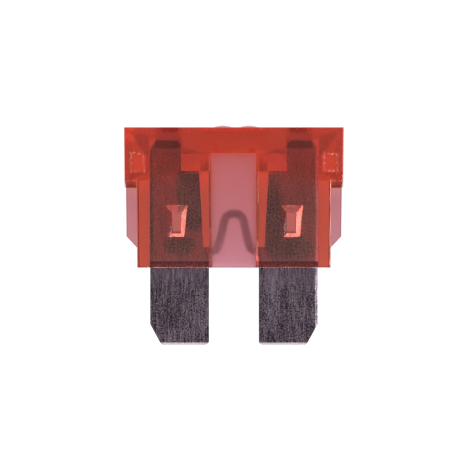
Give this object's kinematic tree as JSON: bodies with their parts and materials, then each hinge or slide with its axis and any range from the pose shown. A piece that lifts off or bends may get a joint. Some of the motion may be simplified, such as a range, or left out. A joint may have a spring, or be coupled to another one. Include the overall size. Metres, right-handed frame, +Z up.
{
  "type": "automotive blade fuse",
  "caption": "Plug-in blade fuse: a see-through red plastic housing staked onto a one-piece stamped strip, whose two flat blades are joined by a thin arched link.",
  "frame": {"origin": "under the middle of the outline, on the surface that the back of the head lies on", "axes": "+X across the two blades, +Y along the blades towards the head, +Z up through the thickness, out of the front face"},
  "size_m": [0.0192, 0.0194, 0.0051],
  "materials": {
    "housing_plastic": "gloss",
    "tinned_strip": "satin"
  },
  "bodies": {
    "root": {"housing": "housing_plastic", "fuse_element": "tinned_strip"}
  },
  "joints": []
}
